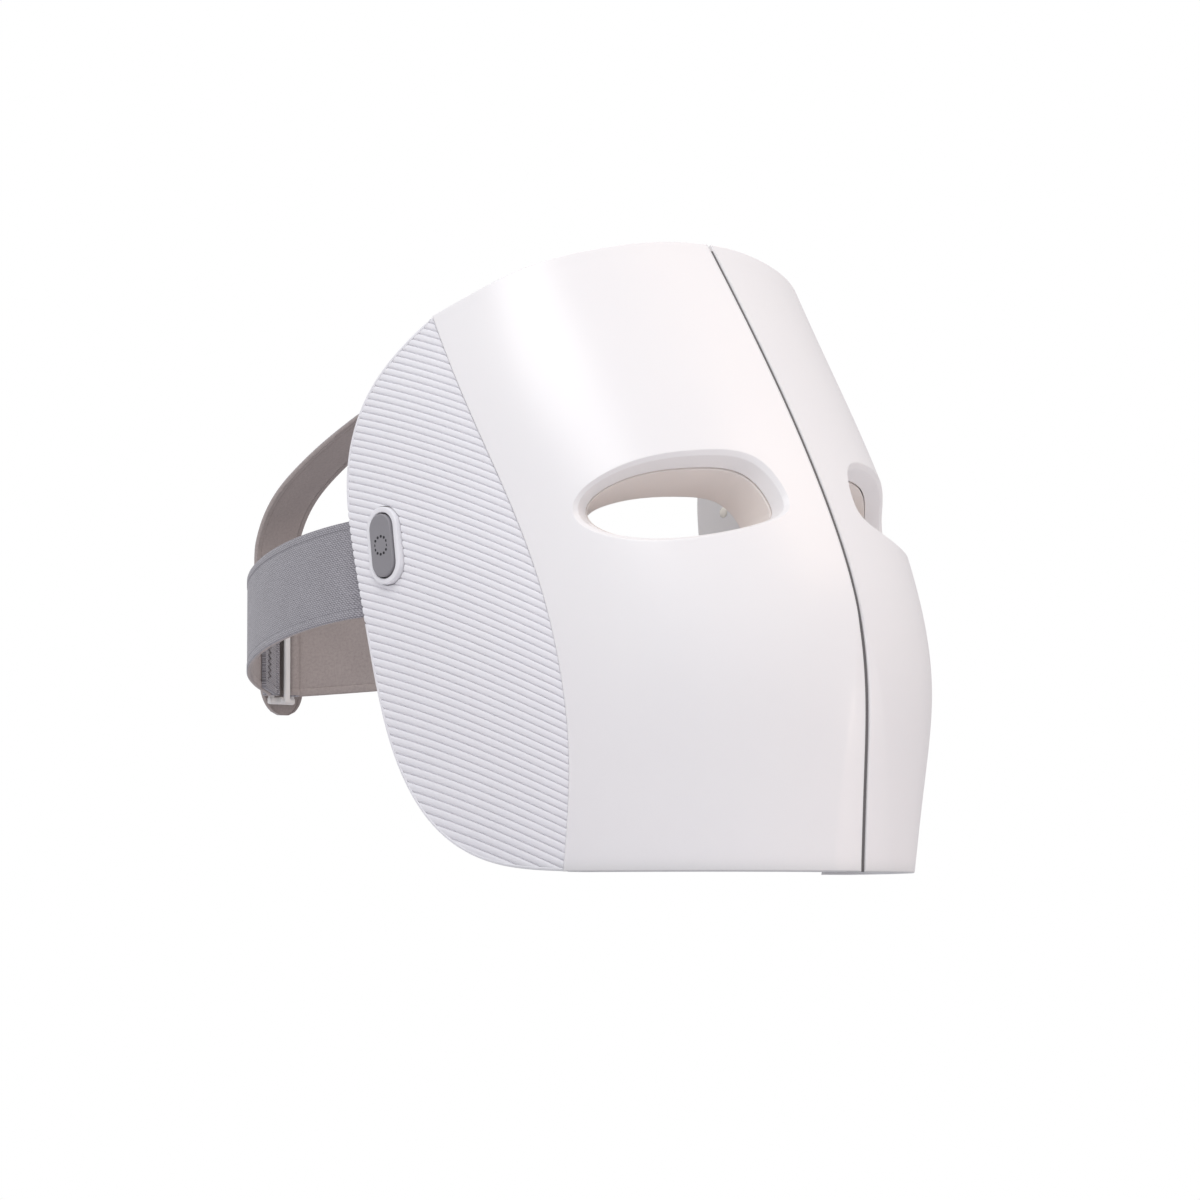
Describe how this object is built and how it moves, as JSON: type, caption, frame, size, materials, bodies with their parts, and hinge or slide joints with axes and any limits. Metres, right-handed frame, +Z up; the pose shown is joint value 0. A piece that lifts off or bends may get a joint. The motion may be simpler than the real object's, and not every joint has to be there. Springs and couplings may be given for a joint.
{
  "type": "led face mask",
  "caption": "Rigid light therapy face mask with split front shell, ribbed side panels with pill buttons, eye cups, inner liner, adjustable rear straps and a crown strap.",
  "frame": {"origin": "centre of the bounding box in plan, on the surface that the chin edge stands on", "axes": "+X towards the wearer's left, -Y out of the front of the face and +Y towards the nape, +Z up"},
  "size_m": [0.1854, 0.2802, 0.2069],
  "materials": {
    "white_shell": "satin white moulded plastic",
    "white_panel": "matt white moulded plastic",
    "spine_grey": "matt dark grey",
    "liner_white": "smooth translucent white",
    "silicone": "soft matt beige grey silicone",
    "pad_silicone": "soft grey silicone foam",
    "button_grey": "matt mid grey",
    "circuit_board": "green solder mask",
    "steel": "plain steel",
    "cell_wrap": "blue film wrap",
    "strap_fabric": "grey twill elastic webbing"
  },
  "bodies": {
    "mask": {"front_shell_left": "white_shell", "front_shell_right": "white_shell", "centre_spine": "spine_grey", "side_panel_left": "white_panel", "side_panel_right": "white_panel", "button_ring_left": "white_panel", "button_ring_right": "white_panel", "switch_left": "circuit_board", "switch_right": "circuit_board", "face_liner": "liner_white", "eye_cup_left": "silicone", "eye_cup_right": "silicone", "chin_plate": "white_panel", "charge_socket": "steel", "battery": "cell_wrap", "control_board": "circuit_board", "forehead_light_board_left": "circuit_board", "forehead_light_board_right": "circuit_board", "cheek_light_board_left": "circuit_board", "cheek_light_board_right": "circuit_board", "forehead_motor_left": "steel", "forehead_motor_right": "steel", "cheek_motor_left": "steel", "cheek_motor_right": "steel", "forehead_pad": "pad_silicone", "cheek_pad_left": "pad_silicone", "cheek_pad_right": "pad_silicone", "forehead_screw_left": "steel", "forehead_screw_right": "steel", "chin_screw_left": "steel", "chin_screw_right": "steel", "temple_screw_left": "steel", "temple_screw_right": "steel", "jaw_screw_left": "steel", "jaw_screw_right": "steel", "strap_anchor_left": "white_panel", "strap_anchor_right": "white_panel", "strap_left": "strap_fabric", "strap_right": "strap_fabric", "rear_buckle": "white_panel", "crown_anchor": "white_panel", "crown_strap": "strap_fabric"},
    "power_button": {"button_right": "button_grey"},
    "mode_button": {"button_left": "button_grey"}
  },
  "joints": [
    {"name": "power_button_press", "type": "slide", "parent": "mask", "child": "power_button", "axis": [1, 0, 0], "range_m": [0, 0.0005], "stiffness_N_per_m": 400, "springref_m": -0.0005},
    {"name": "mode_button_press", "type": "slide", "parent": "mask", "child": "mode_button", "axis": [-1, 0, 0], "range_m": [0, 0.0005], "stiffness_N_per_m": 400, "springref_m": -0.0005}
  ]
}
